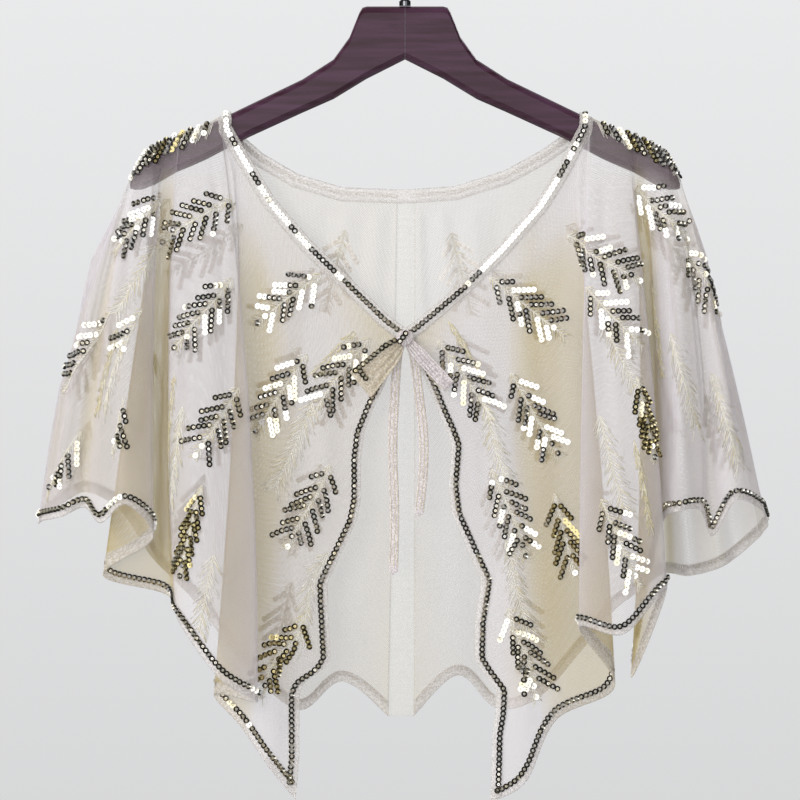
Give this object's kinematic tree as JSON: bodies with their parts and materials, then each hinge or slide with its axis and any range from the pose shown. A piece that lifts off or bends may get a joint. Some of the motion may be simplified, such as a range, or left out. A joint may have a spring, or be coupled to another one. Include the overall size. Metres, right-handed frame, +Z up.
{
  "type": "sequin capelet on a wooden hanger",
  "caption": "Sheer tulle evening capelet with sequin leaf sprays, pointed scalloped hems and a front tie, hanging on a shaped wooden hanger with a metal hook.",
  "frame": {"origin": "the inside top of the hanger's hook, where a clothes rail carries it", "axes": "+Z up, -Y towards the viewer of the garment's front, +X to the viewer's right"},
  "size_m": [0.5928, 0.1138, 0.7061],
  "materials": {
    "tulle": "sheer cream and pale lilac net with a soft sheen",
    "binding": "doubled pale net tape, stitched",
    "sequins": "silver and pale gold mirror-coated cup sequins",
    "embroidery": "gold metallic thread",
    "plum_wood": "dark plum satin varnish over straight grain",
    "hook_steel": "polished plated steel wire"
  },
  "bodies": {
    "root": {"hanger_arm_left": "plum_wood", "hanger_arm_right": "plum_wood", "hook": "hook_steel", "hook_ferrule": "hook_steel", "front_left": "tulle", "front_right": "tulle", "back_left": "tulle", "back_right": "tulle", "centre_back_seam": "binding", "hem_binding_front_left": "binding", "hem_binding_front_right": "binding", "hem_binding_back_left": "binding", "hem_binding_back_right": "binding", "edge_binding_front_left": "binding", "edge_binding_front_right": "binding", "neck_binding_front_left": "binding", "neck_binding_front_right": "binding", "neck_binding_back": "binding", "tie_knot": "binding", "tie_loop_left": "binding", "tie_loop_right": "binding", "tie_tail_left": "binding", "tie_tail_right": "binding"}
  },
  "joints": []
}
